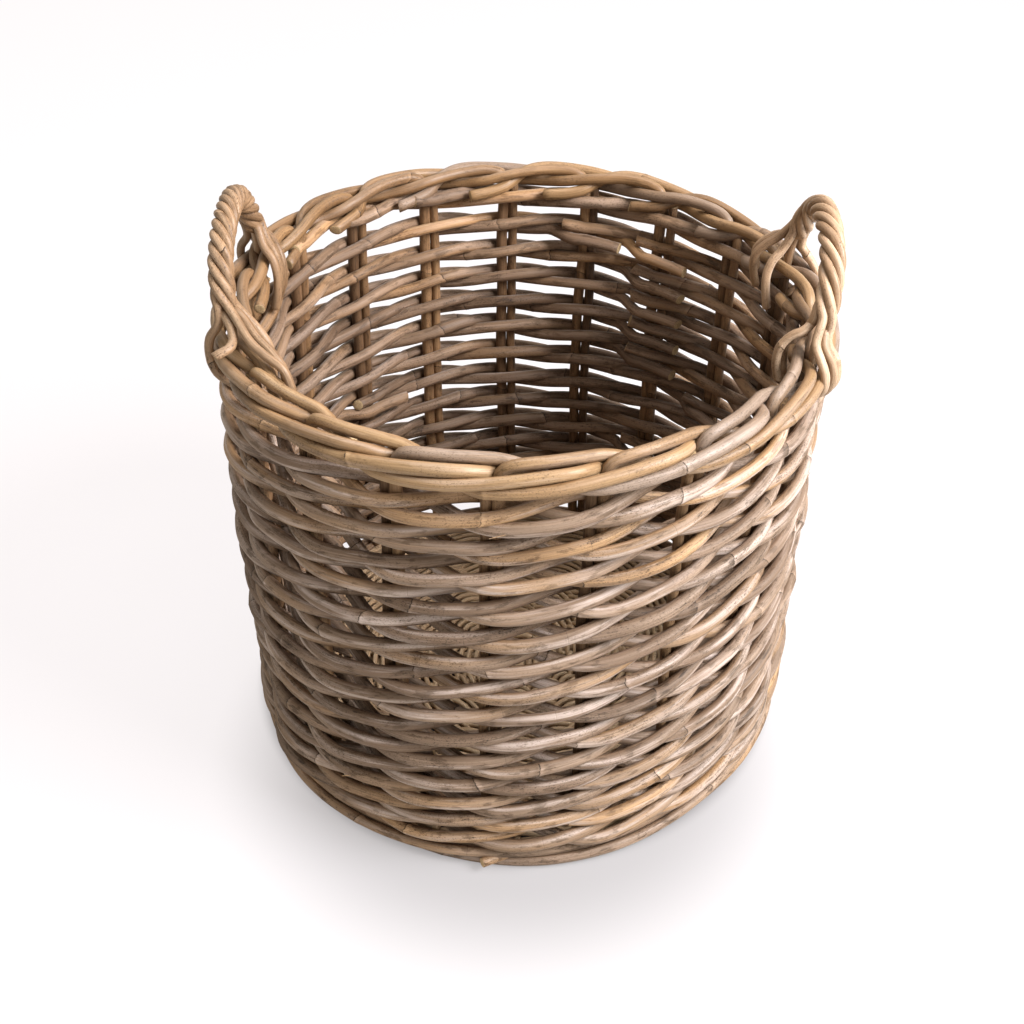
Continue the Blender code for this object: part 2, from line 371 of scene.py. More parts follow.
    def finish(self):
        mesh = bpy.data.meshes.new(self.name)
        mesh.from_pydata(np.vstack(self.points).tolist(), [], self.faces)
        mesh.polygons.foreach_set("use_smooth", [True] * len(mesh.polygons))
        for name, values in self.marks.items():
            if name == "rod_space":
                layer = mesh.attributes.new(name, "FLOAT_VECTOR", "POINT")
                layer.data.foreach_set("vector", np.vstack(values).astype(np.float32).ravel())
            else:
                layer = mesh.attributes.new(name, "FLOAT", "POINT")
                layer.data.foreach_set("value", np.concatenate(values).astype(np.float32))
        mesh.materials.append(self.material)
        mesh.update()
        piece = bpy.data.objects.new(self.name, mesh)
        bpy.context.scene.collection.objects.link(piece)
        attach(piece, "root")
        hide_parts(*self.nodes)


# ---------------------------------------------------------------- materials


class Shader:
    """A short way to write a node tree."""

    def __init__(self, name):
        self.material = bpy.data.materials.new(name)
        self.material.use_nodes = True
        self.tree = self.material.node_tree
        self.tree.nodes.clear()

    def node(self, kind, inputs=(), output=0, **settings):
        node = self.tree.nodes.new(kind)
        for key, value in settings.items():
            setattr(node, key, value)
        for key, value in dict(inputs).items():
            if isinstance(value, bpy.types.NodeSocket):
                self.tree.links.new(value, node.inputs[key])
            else:
                node.inputs[key].default_value = value
        return node.outputs[output]

    def attribute(self, name, output="Fac"):
        return self.node("ShaderNodeAttribute", attribute_name=name, output=output)

    def math(self, operation, a, b=0.0, c=0.0, clamp=False):
        return self.node("ShaderNodeMath", {0: a, 1: b, 2: c}, operation=operation, use_clamp=clamp)

    def add_centred(self, value, noise, amount, clamp=False):
        """The value plus this much of a noise, which lies about 0.5."""
        return self.math("MULTIPLY_ADD", self.math("SUBTRACT", noise, 0.5), amount, value, clamp=clamp)

    def length(self, vector):
        return self.node("ShaderNodeVectorMath", {0: vector}, output="Value", operation="LENGTH")

    def stretched(self, vector, around, along):
        return self.node(
            "ShaderNodeVectorMath", {0: vector, 1: (around, around, along)}, operation="MULTIPLY"
        )

    def noise(self, vector, detail=2.0, roughness=0.5):
        inputs = {"Vector": vector, "Scale": 1.0, "Detail": detail, "Roughness": roughness}
        return self.node("ShaderNodeTexNoise", inputs)

    def fade(self, value, start, end, low=0.0, high=1.0):
        """A smooth step of the value, from low at start to high at end."""
        return self.node(
            "ShaderNodeMapRange",
            {"Value": value, "From Min": start, "From Max": end, "To Min": low, "To Max": high},
            interpolation_type="SMOOTHSTEP",
        )

    def mix(self, factor, first, second, blend="MIX"):
        return self.node(
            "ShaderNodeMix",
            {0: factor, 6: first, 7: second},
            output=2,
            data_type="RGBA",
            blend_type=blend,
        )

    def ramp(self, factor, stops):
        node = self.tree.nodes.new("ShaderNodeValToRGB")
        self.tree.links.new(factor, node.inputs[0])
        elements = node.color_ramp.elements
        while len(elements) < len(stops):
            elements.new(0.5)
        for element, (position, colour) in zip(elements, stops):
            element.position = position
            element.color = (*colour, 1.0)
        return node.outputs[0]

    def surface(self, inputs):
        """A Principled BSDF with these inputs, as the material's surface."""
        shader = self.node("ShaderNodeBsdfPrincipled", inputs)
        output = self.tree.nodes.new("ShaderNodeOutputMaterial")
        self.tree.links.new(shader, output.inputs["Surface"])


def skin_noises(s, space):
    """The patterns that the skin's colour, gloss and relief share, each stretched along the rod."""
    grit = s.noise(s.stretched(space, 1150.0, 620.0), detail=3.0, roughness=0.7)
    dirty = s.fade(s.noise(s.stretched(space, 70.0, 18.0), detail=2.0), 0.42, 0.62)
    return {
        "patch": s.noise(s.stretched(space, 60.0, 8.0), detail=3.0),
        "stain": s.noise(s.stretched(space, 210.0, 55.0), detail=5.0, roughness=0.62),
        "streak": s.noise(s.stretched(space, 760.0, 11.0), detail=4.0, roughness=0.65),
        "fibre": s.noise(s.stretched(space, 2300.0, 34.0), detail=2.0),
        "grit": grit,
        "speck": s.math("MULTIPLY", s.fade(grit, 0.56, 0.60), s.math("MULTIPLY_ADD", dirty, 0.75, 0.25)),
    }


def growth_ring(s, space, noises):
    """A ragged, slanting crack round part of the rod, with a paler band and a smudge beside it."""
    sideways = s.node("ShaderNodeSeparateXYZ", {"Vector": space})
    ragged = s.math("MULTIPLY_ADD", sideways, 0.42, s.attribute("knot"))
    ragged = s.add_centred(ragged, noises["stain"], 0.0060)
    ragged = s.add_centred(ragged, noises["grit"], 0.0012)
    partial = s.fade(s.noise(s.stretched(space, 150.0, 40.0), detail=1.0), 0.36, 0.48)
    crack = s.math("MULTIPLY", s.fade(s.math("ABSOLUTE", ragged), 0.00020, 0.00060, 1.0, 0.0), partial)
    band = s.math("MULTIPLY", s.fade(ragged, 0.0002, 0.0010), s.fade(ragged, 0.0016, 0.0048, 1.0, 0.0))
    smudge = s.math("MULTIPLY", s.fade(ragged, -0.0080, -0.0006), s.fade(ragged, -0.0004, 0.0002, 1.0, 0.0))
    return crack, band, smudge


def skin_colour(s, space, noises, stops, chalk):
    """The skin's colour, from the most weather-worn to the freshest, with bleached streaks on it, and painted
    shade on the faces that look into the basket.
    """
    # how far a face looks out of the basket: the mask of the painted shade on inward faces
    facing_out = s.fade(s.attribute("outer"), 0.25, 0.75)
    place = s.add_centred(s.attribute("tone"), noises["patch"], 1.1)
    place = s.add_centred(place, noises["streak"], 0.60, clamp=True)
    colour = s.ramp(place, stops)
    chalky = s.fade(s.noise(s.stretched(space, 170.0, 9.0), detail=4.0, roughness=0.60), 0.46, 0.66)
    # the pale streaks are stronger on faces that look out
    chalky = s.math("MULTIPLY", chalky, s.math("MULTIPLY_ADD", facing_out, 0.65 * chalk, 0.35 * chalk))
    colour = s.mix(chalky, colour, (*CHALK, 1.0))
    # painted shade: the faces that look into the basket are darkened and browned
    return s.mix(facing_out, s.mix(1.0, colour, (*INWARD_PAINTED_SHADE, 1.0), blend="MULTIPLY"), colour)


def skin_brightness(s, noises, mottling, crack, band, smudge):
    """How much lighter or darker than its own colour the skin is, and browner where it is darker."""
    bright = s.math("MULTIPLY_ADD", s.attribute("shade"), 0.26, 1.0)
    bright = s.add_centred(bright, noises["streak"], 0.75)
    bright = s.add_centred(bright, noises["fibre"], 0.60)
    bright = s.math("MULTIPLY_ADD", s.fade(noises["stain"], 0.53, 0.61), -mottling, bright)
    bright = s.math("MULTIPLY_ADD", noises["speck"], -0.50, bright)
    bright = s.math("MULTIPLY_ADD", crack, -0.75, bright)
    bright = s.math("MULTIPLY_ADD", band, 0.22, bright)
    bright = s.math("MULTIPLY_ADD", smudge, -0.22, bright)
    bright = s.math("MAXIMUM", bright, 0.10)
    green = s.math("POWER", bright, 1.10)
    blue = s.math("POWER", bright, 1.25)
    return s.node("ShaderNodeCombineColor", {"Red": bright, "Green": green, "Blue": blue})


def skin_relief(s, noises, crack):
    """Fine lengthwise ridges, dents at the specks and a groove at the growth rings."""
    height = s.math("MULTIPLY_ADD", noises["streak"], 0.60, s.math("MULTIPLY", noises["fibre"], 0.36))
    height = s.math("MULTIPLY_ADD", noises["stain"], 0.40, height)
    height = s.math("MULTIPLY_ADD", noises["speck"], -0.30, height)
    height = s.math("MULTIPLY_ADD", crack, -0.9, height)
    return s.node("ShaderNodeBump", {"Height": height, "Strength": 0.45, "Distance": 0.0006})


def rattan_material(name, stops, roughness, mottling=0.35, chalk=0.0):
    """Unpeeled rattan: a satin skin with lengthwise streaks, stains, specks and dark growth rings.

    The stops run from the skin's most weather-worn colour to its freshest. A rod's tone picks the place
    between them, its shade makes it lighter or darker, and its cut ends show the pale, porous pith. The
    faces that look into the basket get painted shade, darker and browner, and fewer pale streaks.
    """
    s = Shader(name)
    space = s.attribute("rod_space", "Vector")
    cut = s.attribute("cut")
    noises = skin_noises(s, space)
    crack, band, smudge = growth_ring(s, space, noises)
    colour = skin_colour(s, space, noises, stops, chalk)
    brightness = skin_brightness(s, noises, mottling, crack, band, smudge)
    colour = s.mix(1.0, colour, brightness, blend="MULTIPLY")
    pores = s.noise(s.stretched(space, 2100.0, 2100.0), detail=2.0, roughness=0.7)
    pith = s.mix(s.fade(pores, 0.44, 0.62), (*PITH, 1.0), (*PORE, 1.0))
    gloss = s.math("MULTIPLY_ADD", noises["stain"], 0.24, roughness - 0.10)
    gloss = s.add_centred(gloss, noises["streak"], 0.24)
    gloss = s.math("MULTIPLY_ADD", cut, 0.25, gloss, clamp=True)
    s.surface({
        "Base Color": s.mix(cut, colour, pith),
        "Roughness": gloss,
        "Specular IOR Level": 0.38,
        "Normal": skin_relief(s, noises, crack),
    })
    return s.material


PITH = (0.50, 0.35, 0.19)
PORE = (0.225, 0.1575, 0.0855)
CHALK = (0.455, 0.372, 0.328)
# painted shade, multiplied into the colour of faces that look into the basket
INWARD_PAINTED_SHADE = (0.86, 0.78, 0.70)
GREY_TO_TAN = (
    (0.00, (0.160, 0.104, 0.068)),
    (0.30, (0.235, 0.162, 0.112)),
    (0.55, (0.265, 0.170, 0.100)),
    (0.80, (0.330, 0.200, 0.102)),
    (1.00, (0.400, 0.250, 0.128)),
)
BROWN_TO_TAN = (
    (0.00, (0.085, 0.048, 0.025)),
    (0.40, (0.160, 0.094, 0.050)),
    (0.75, (0.245, 0.148, 0.078)),
    (1.00, (0.330, 0.205, 0.108)),
)
TAN_TO_GOLD = (
    (0.00, (0.215, 0.156, 0.116)),
    (0.30, (0.188, 0.116, 0.063)),
    (0.60, (0.226, 0.134, 0.064)),
    (1.00, (0.300, 0.192, 0.098)),
)
GOLD_TO_PALE = (
    (0.00, (0.270, 0.172, 0.100)),
    (0.40, (0.350, 0.233, 0.143)),
    (1.00, (0.490, 0.358, 0.250)),
)
CREAM = (
    (0.00, (0.300, 0.205, 0.125)),
    (0.50, (0.430, 0.310, 0.195)),
    (1.00, (0.560, 0.430, 0.290)),
)

STAKE_RATTAN = rattan_material("rattan_stakes", BROWN_TO_TAN, 0.55)
WALE_RATTAN = rattan_material("rattan_waling", GREY_TO_TAN, 0.58, mottling=0.38, chalk=0.75)
RIM_RATTAN = rattan_material("rattan_rim", TAN_TO_GOLD, 0.42, mottling=0.18, chalk=0.22)
FOOT_RATTAN = rattan_material("rattan_foot", GREY_TO_TAN, 0.56, mottling=0.45, chalk=0.30)
BASE_RATTAN = rattan_material("rattan_base", CREAM, 0.62, mottling=0.15)
ROPE_RATTAN = rattan_material("rattan_handles", GOLD_TO_PALE, 0.42, mottling=0.18, chalk=0.15)


# ---------------------------------------------------------------- stakes

STAKE_FOOT = 0.007  # height of the stakes' feet in the foot border
STAKE_GAP = 0.003  # between a stake's top and the rim, where its turned-down end takes over
BYE_INTO_RIM = (0.001, 0.003)  # how far the bye-stakes' cut ends reach into the border


def build_stakes():
    """The uprights, in pairs. The bye-stake is cut off under the border, the stake turns down into it."""
    for index in range(STAKES):
        shortest, longest = BYE_INTO_RIM
        bye_top = RIM_LOW[2] + shortest + (longest - shortest) * rng.random()
        pair = (
            ("stake", STAKE_RADIUS, BYE_RADIUS, RIM_LOW[2] - STAKE_GAP),
            ("bye_stake", BYE_RADIUS, -STAKE_RADIUS, bye_top),
        )
        for kind, radius, shift, top in pair:
            heights = np.linspace(FOOT_LOW[2] + STAKE_FOOT, top, 40)
            lean = wander(0.0006, 0.30, 0.06)
            stray = wander(0.0008, 0.40, 0.08)
            places = index + (shift + stray(heights)) / (STEP * stake_circle(heights))
            line = settle(on_wall(places, stake_circle(heights) + lean(heights), heights))
            name = f"{kind}_{index + 1:02d}"
            piece = Piece(name + "_rod", STAKE_RATTAN, [name])
            piece.rod(line, radius, tone=rng.uniform(0.15, 0.85), shade=rng.uniform(-0.5, 0.4))
            piece.finish()


# ---------------------------------------------------------------- waling

WALE_LOW = 0.0270  # height of the first round's middle
PITCH_LOW, PITCH_HIGH = 0.0195, 0.0267  # from round to round, packed tight at the foot
TIGHT_ROUNDS = 4.0
LOOSENING_ROUNDS = 0.8
ROD_PITCH = 0.0094  # between two rods that lie on each other
WALE_OUT, WALE_BOW, WALE_FLATTENING = 0.0030, 0.0115, 0.0017  # of a strand's way in and out
SPLICE_BEFORE = 0.50  # how far a new rod starts before the stake where it takes over, in stakes
SPLICE_AFTER = 0.34  # and how far the old rod runs on
TAKE_OVER_END, TAKE_OVER_LENGTH = 0.52, 0.42  # where the new rod comes out to the strand's own line
NEW_ROD_IN, NEW_ROD_DOWN = 0.0080, 0.0070
OLD_ROD_ASIDE = 0.0030
# Where each strand's rods end, in stakes from the strand's start: always inside the wall
SPLICES = (
    (0, 45, 90, 132, 174, 204, 243, STRAND_STAKES),
    (0, 30, 78, 117, 165, 192, 222, STRAND_STAKES),
    (0, 60, 105, 144, 183, 213, 240, STRAND_STAKES),
)
NODES_PER_STRAND = 3
WALE_TONES = (0.12, 0.24, 0.36, 0.48, 0.60, 0.74)  # from greyest to freshest
SPLINTERS = 2


def wale_height(rounds):
    """Height of the middle of a round of waling."""
    loose = LOOSENING_ROUNDS * np.log1p(np.exp((rounds - TIGHT_ROUNDS) / LOOSENING_ROUNDS))
    return WALE_LOW + PITCH_LOW * rounds + (PITCH_HIGH - PITCH_LOW) * loose


def waling_line(strand, first, last):
    """One rod of a strand, between two stakes that it passes inside, with its ends laid inside the wall.

    Over three stakes it passes inside one, comes out below the other strands, bows out over two while it
    rises over them, and goes back in above them.
    """
    stakes = np.arange(first - SPLICE_BEFORE, last + SPLICE_AFTER, 1.0 / POINTS_PER_STAKE)
    place = strand + stakes
    middle = wale_height(place / STAKES)
    woven = np.clip(stakes, first, last)
    phase = 2.0 * np.pi * (woven / STROKE - 0.5)
    slack = wander(0.0007, 4.0, 0.9)
    sag = wander(0.0011, 5.0, 1.1)
    bow = wander(0.0012, 7.0, 2.0)
    out = WALE_OUT + (WALE_BOW + bow(stakes)) * np.cos(phase) - WALE_FLATTENING * np.cos(2.0 * phase)
    out = out + slack(stakes)
    up = 0.54 * np.sin(phase) - 0.40 * np.cos(phase) + 0.13 * np.cos(2.0 * phase) + 0.04
    up = ROD_PITCH * up + sag(stakes)
    taking_over = eased(np.clip((first + TAKE_OVER_END - stakes) / TAKE_OVER_LENGTH, 0.0, 1.0))
    running_on = np.clip((stakes - last) / SPLICE_AFTER, 0.0, 1.0)
    out -= NEW_ROD_IN * taking_over + OLD_ROD_ASIDE * running_on
    up -= NEW_ROD_DOWN * taking_over - OLD_ROD_ASIDE * running_on
    return settle(on_wall(FIRST_STAKE + place, stake_circle(middle) + out, middle + up))


def add_splinter(piece, line):
    """A loose fibre somewhere on the outside of this rod."""
    index = rng.randrange(20, len(line) - 20)
    outward = np.array([line[index][0], line[index][1], 0.0]) / stake_circle(0.2)
    along = (line[index + 1] - line[index]) / np.linalg.norm(line[index + 1] - line[index])
    direction = along * rng.choice((-1.0, 1.0)) + outward * rng.uniform(0.3, 0.5)
    piece.splinter(line[index] + outward * ROD_RADIUS * 0.9, direction, rng.uniform(0.005, 0.010))


def build_waling():
    """Three strands, each of three CAD nodes, and each strand of seven lengths of rattan spliced inside."""
    strokes = STRAND_STAKES // STROKE
    node_ends = [STROKE * round(strokes * share / NODES_PER_STRAND) for share in range(NODES_PER_STRAND + 1)]
    for strand in range(STRANDS):
        for number, (start, stop) in enumerate(zip(SPLICES[strand], SPLICES[strand][1:])):
            nodes = [
                f"waling_rod_{strand * NODES_PER_STRAND + part + 1:02d}"
                for part in range(NODES_PER_STRAND)
                if start < node_ends[part + 1] and stop > node_ends[part]
            ]
            line = waling_line(strand, start, stop)
            piece = Piece(f"waling_{strand + 1}_length_{number + 1}", WALE_RATTAN, nodes)
            piece.rod(
                line,
                ROD_RADIUS * rng.uniform(0.92, 1.06),
                tone=rng.choice(WALE_TONES) + rng.uniform(-0.06, 0.06),
                shade=rng.uniform(-0.8, 0.7),
                slants=(rng.uniform(-0.4, 0.4), rng.uniform(-0.4, 0.4)),
                drift=0.16,
            )
            for _ in range(SPLINTERS):
                add_splinter(piece, line)
            piece.finish()


# ---------------------------------------------------------------- rim border

# A border rod's route: stakes passed, distance out from the ring of stakes and height above the rim's top.
# It rises at its own stake, bends over as the knuckle, passes inside the next stake, comes out under the
# next rod, runs outside two stakes while it climbs, and goes in under a knuckle to end inside the wall.
BORDER_ROUTE = (
    (0.00, 0.0000, -0.0300),
    (0.00, 0.0000, -0.0160),
    (0.05, 0.0002, -0.0090),
    (0.20, 0.0004, -0.0052),
    (0.50, -0.0020, -0.0046),
    (0.80, -0.0060, -0.0058),
    (1.00, -0.0084, -0.0078),
    (1.25, -0.0064, -0.0120),
    (1.50, 0.0020, -0.0168),
    (1.78, 0.0100, -0.0196),
    (2.00, 0.0134, -0.0200),
    (2.50, 0.0152, -0.0158),
    (3.00, 0.0138, -0.0104),
    (3.50, 0.0108, -0.0076),
    (3.72, 0.0060, -0.0092),
    (3.86, -0.0006, -0.0130),
    (4.00, -0.0090, -0.0172),
    (4.20, -0.0128, -0.0200),
    (4.40, -0.0138, -0.0226),
)
RIM_STRAY = 0.0005
STRAY_FROM = 0.2  # up to here the rod is still its own stake, which stays in place
LAST_STAKES = 4.3  # from here on, some rods run a little longer than others
GREY_RIM_SHARE = 0.25
PALE_RIM_ROD = 13  # always a bleached one, at the front


def build_rim():
    """The stakes' turned-down ends: each bends in, passes inside one stake, outside two and ends inside."""
    shift = BYE_RADIUS / (STEP * RIM_CIRCLE)
    for index in range(STAKES):
        strays = [[rng.uniform(-RIM_STRAY, RIM_STRAY) for _ in range(2)] for _ in BORDER_ROUTE]
        longer = rng.uniform(-0.05, 0.10)
        points = []
        for (passed, out, up), (stray_out, stray_up) in zip(BORDER_ROUTE, strays):
            if passed > LAST_STAKES:
                passed += longer
            if passed > STRAY_FROM:
                out, up = out + stray_out, up + stray_up
            points.append(on_wall(index + shift + passed, RIM_CIRCLE + out, RIM_TOP + up))
        greyish = rng.random() < GREY_RIM_SHARE or index == PALE_RIM_ROD
        piece = Piece(f"rim_rod_{index + 1:02d}", RIM_RATTAN, ["rim_border"])
        piece.rod(
            settle(smooth_line(points)),
            BORDER_ROD_RADIUS * rng.uniform(0.95, 1.06),
            tone=rng.uniform(-0.1, 0.2) if greyish else rng.uniform(0.30, 0.95),
            shade=rng.uniform(0.0, 0.8) if greyish else rng.uniform(-0.5, 0.5),
            slants=(0.0, rng.uniform(-0.7, 0.7)),
            spacing=0.0045,
            taper=0.06,
        )
        piece.finish()


# ---------------------------------------------------------------- foot border

FOOT_RODS = 4
FOOT_ROD_RADIUS = 0.0042
FOOT_BUNDLE_CIRCLE = 0.2192
FOOT_BUNDLE_WIDTH, FOOT_BUNDLE_HEIGHT = 0.0052, 0.0050  # of the rods' middles to each side of the bundle's
FLOOR_GAP = 0.0004
FOOT_TWIST = 8.0  # stakes passed in one turn of the foot's bundle
FOOT_FIRST, FOOT_OVERLAP = 0.35, 0.9  # how far before stake 0 the first rod starts, and ends past its start
SPRUNG_CIRCLE, SPRUNG_LENGTH = 0.2300, 0.55


def build_foot():
    """Four rods twisted slowly round the edge of the base, which the basket stands on."""
    whole_turns = round(STAKES / FOOT_TWIST)
    for number in range(FOOT_RODS):
        start = STAKES * number / FOOT_RODS - FOOT_FIRST
        places = np.arange(start, start + STAKES + FOOT_OVERLAP, 1.0 / POINTS_PER_STAKE)
        turn = 2.0 * np.pi * (places / FOOT_TWIST + number / FOOT_RODS)
        turn += 2.0 * np.pi * (places - start) / STAKES * (whole_turns - STAKES / FOOT_TWIST)
        slack = wander(0.0004, 5.0, 1.0)
        radii = FOOT_BUNDLE_CIRCLE + FOOT_BUNDLE_WIDTH * np.cos(turn) + slack(places)
        if number == FOOT_RODS - 1:
            # this one's end has sprung out of the bundle
            sprung = np.clip(1.0 - (places - start) / SPRUNG_LENGTH, 0.0, 1.0) ** 2
            radii = radii + (SPRUNG_CIRCLE - radii) * sprung
        heights = FOOT_ROD_RADIUS + FLOOR_GAP + FOOT_BUNDLE_HEIGHT * (1.0 + np.sin(turn))
        line = settle(on_wall(places, radii, heights))
        piece = Piece(f"foot_rod_{number + 1}", FOOT_RATTAN, ["foot_border"])
        piece.rod(line, FOOT_ROD_RADIUS, tone=rng.uniform(0.2, 0.7), shade=rng.uniform(-0.4, 0.2))
        piece.finish()


# ---------------------------------------------------------------- base

BASE_MIDDLE = (CROSS_LOW[2] + CROSS_HIGH[2]) / 2.0
BASE_EDGE = CROSS_HIGH[0] + 0.0130  # where the ribs end, inside the foot border
STICKS_EACH_WAY = 5
RIBS = 4 * STICKS_EACH_WAY
RIB_STEP = 2.0 * math.pi / RIBS
STICK_RADIUS = 0.0031
STICK_SPACING = 2.15 * STICK_RADIUS
FAN_START, FAN_LENGTH = 0.022, 0.022  # where the sticks leave the square middle, and spread as ribs
BASE_ROD_RADIUS = 0.0023
BASE_ROW = 3.05 * BASE_ROD_RADIUS
TWINING_START = 0.037
BINDINGS = 3
BINDING_HALF, BINDING_CORNER = 0.0205, 1.22  # half a binding's width, and its corners' reach beside that


def build_base_stick(number, along_y, offset):
    """A stick of the cross, beside its neighbours in the middle and fanned out as two ribs."""
    points = []
    for reach in np.linspace(-BASE_EDGE, BASE_EDGE, 29):
        fan = eased(np.clip((abs(reach) - FAN_START) / FAN_LENGTH, 0.0, 1.0))
        straight = offset * STICK_SPACING
        spread = abs(reach) * math.sin(offset * RIB_STEP)
        side = straight + (spread - straight) * fan
        ahead = reach * (1.0 + (math.cos(offset * RIB_STEP) - 1.0) * fan)
        over = (1.0 - fan) * (STICK_RADIUS * 0.98) * (1.0 if along_y else -1.0)
        x, y = (side, ahead) if along_y else (ahead, side)
        points.append((x, y, BASE_MIDDLE + over))
    piece = Piece(f"base_stick_{number:02d}", BASE_RATTAN, ["base_cross"])
    tone = rng.uniform(0.1, 0.6)
    piece.rod(settle(points), STICK_RADIUS, tone=tone, shade=rng.uniform(-0.4, 0.2), sides=10)
    piece.finish()


def binding_line(strand, turn):
    """One turn of a strand round the square middle of the cross, over one side's sticks, under the next's."""
    half = BINDING_HALF + BASE_ROW * 0.62 * turn
    points = []
    for corner in range(9):
        angle = 0.25 * math.pi * corner
        reach = half * (BINDING_CORNER if corner % 2 else 1.0)
        side = 1.0 if (corner // 2 + strand + turn) % 2 else -1.0
        height = 0.0 if corner % 2 else side * (2.0 * STICK_RADIUS + 0.0018)
        points.append((reach * math.cos(angle), reach * math.sin(angle), BASE_MIDDLE + height))
    return smooth_line(points, 8)


def build_base():
    """Five sticks across five, opened out into ribs, with two strands twined round them."""
    number = 0
    for along_y in (False, True):
        for stick in range(STICKS_EACH_WAY):
            number += 1
            build_base_stick(number, along_y, stick - (STICKS_EACH_WAY - 1) / 2.0)

    rounds = (BASE_EDGE + 0.001 - TWINING_START) / BASE_ROW
    lift = STICK_RADIUS + BASE_ROD_RADIUS - 0.0002
    for strand, node in enumerate(("base_weave_lower", "base_weave_upper")):
        passed = np.arange(0.0, rounds * RIBS, 1.0 / 9.0)
        weave = np.pi * (passed + strand)
        radii = TWINING_START + BASE_ROW * passed / RIBS + BASE_ROD_RADIUS * 0.62 * np.sin(weave)
        angles = passed * RIB_STEP
        heights = BASE_MIDDLE + lift * np.cos(weave)
        line = np.stack([radii * np.cos(angles), radii * np.sin(angles), heights], axis=-1)
        piece = Piece(node + "_strand", BASE_RATTAN, [node])
        piece.rod(settle(line), BASE_ROD_RADIUS, tone=0.5, shade=0.1, sides=8, spacing=0.0055)
        for turn in range(BINDINGS):
            line = settle(binding_line(strand, turn))
            piece.rod(line, BASE_ROD_RADIUS, tone=0.6, shade=0.1, sides=8)
        piece.finish()


# ---------------------------------------------------------------- handles

HANDLE_TOP_CIRCLE = 0.2200
CORE_RADIUS = 0.0036
ROPE_STRANDS = 5
ROPE_STRAND_RADIUS = 0.0034
ROPE_HELIX_RADIUS = 0.0063
MILLIMETRE = 0.001
SPLAY = 16  # rope points left out at each foot, where its strands open out
# For each handle: which way it faces, its height and the reach of its back foot beside the hoop's, the
# lengths of one turn of the rope at its top and its feet, its tone and its shade
HANDLES = {
    "right": (1.0, 1.0, 1.0, 0.072, 0.090, 0.52, 0.05),
    # The left handle's low shade is partly painted shade, darkening the handle that the key light falls on
    # most.
    "left": (-1.0, 0.94, 0.80, 0.048, 0.090, 0.35, -0.50),
}
# How the strands' ends are laced at each foot of the handles, from the rope's outer side to its inner side:
# places in stakes from the foot, away from the handle's middle, and the radius and the height above the
# rim's top, both in millimetres
LACING = {
    ("right", "front"): (
        ((0.00, 231, 6), (0.02, 239, -6), (0.04, 241.2, -19), (0.02, 236, -30), (-0.02, 224, -35)),
        ((0.10, 230, 8), (0.14, 238, -3), (0.16, 240.5, -16), (0.14, 235, -28), (0.10, 222, -34)),
        ((0.16, 225, 10), (0.23, 231, 2), (0.28, 237, -8), (0.28, 236, -21), (0.24, 224, -30)),
        ((0.04, 213, 14), (0.08, 205, 9), (0.13, 199, 0), (0.16, 198, -12), (0.16, 201, -26)),
        ((-0.06, 213, 10), (-0.10, 205, 3), (-0.12, 199.5, -8), (-0.12, 199.5, -22), (-0.10, 201.5, -36)),
    ),
    ("right", "back"): (
        ((-0.06, 231, 8), (-0.18, 236, -2), (-0.32, 239.5, -13), (-0.42, 235, -26), (-0.46, 223, -33)),
        ((0.06, 231, 7), (0.02, 239, -4), (-0.04, 240.5, -17), (-0.08, 234, -29), (-0.08, 222, -34)),
        ((0.07, 213, 16), (0.10, 205, 12), (0.13, 198.5, 4), (0.13, 197.5, -4), (0.12, 199, -14)),
        ((0.02, 211, 15), (0.04, 203, 10), (0.06, 195, 1), (0.07, 194.5, -10), (0.09, 200, -29)),
        ((-0.12, 211, 8), (-0.16, 203, 1), (-0.20, 198.5, -10), (-0.24, 198.5, -24), (-0.26, 200.5, -38)),
    ),
    ("left", "front"): (
        ((0.02, 232, 10), (-0.02, 239, -3), (-0.02, 240.5, -17), (0.04, 237, -30), (0.12, 227, -38)),
        ((0.16, 225, 13), (0.28, 226, 6), (0.36, 231, 4), (0.38, 237, 3), (0.38, 242, 1)),
        ((0.20, 220, 17), (0.40, 216, 8), (0.62, 210.5, 3), (0.80, 204, -3), (0.90, 201.5, -18)),
        ((0.12, 215, 16), (0.32, 209, 6), (0.52, 203.5, 0), (0.68, 199.8, -10), (0.76, 200.5, -26)),
        ((-0.02, 212, 12), (0.06, 205, 3), (0.16, 199.2, -8), (0.24, 198.5, -22), (0.28, 200.5, -38)),
    ),
    ("left", "back"): (
        ((0.02, 232, 6), (0.04, 239.5, -6), (0.05, 240, -19), (0.04, 232, -30), (0.02, 218, -34)),
        ((0.14, 231, 8), (0.26, 238, -2), (0.36, 240, -14), (0.42, 233, -27), (0.44, 219, -33)),
        ((0.02, 214, 11), (-0.06, 205, 5), (-0.13, 198.5, -6), (-0.18, 197.5, -22), (-0.22, 203.5, -40)),
        ((-0.08, 212, 10), (-0.16, 204, 2), (-0.20, 200, -10), (-0.25, 200, -26), (-0.29, 205.5, -40)),
        ((-0.20, 211, 8), (-0.26, 203, 0), (-0.31, 199, -12), (-0.36, 198.5, -26), (-0.38, 200.5, -40)),
    ),
}


def hoop_line(lift, back_share):
    """The middle of the right handle's rope, from the rim's top over to the rim's top."""
    half_span = (HOOP_HIGH[1] - HOOP_LOW[1]) / 2.0 - HOOP_RADIUS
    leg_x = HOOP_LOW[0] + HOOP_RADIUS
    rise_to = (HOOP_HIGH[2] - HOOP_RADIUS - RIM_TOP) * lift
    turn = np.linspace(0.0, math.pi, 120)
    rise = np.sin(turn)
    side = -half_span * np.cos(turn)
    side = np.where(side > 0.0, side * back_share, side)
    foot_x = np.sqrt(leg_x**2 + half_span**2 - side**2)
    return np.stack([foot_x + (HANDLE_TOP_CIRCLE - foot_x) * rise, side, RIM_TOP + rise_to * rise], axis=-1)


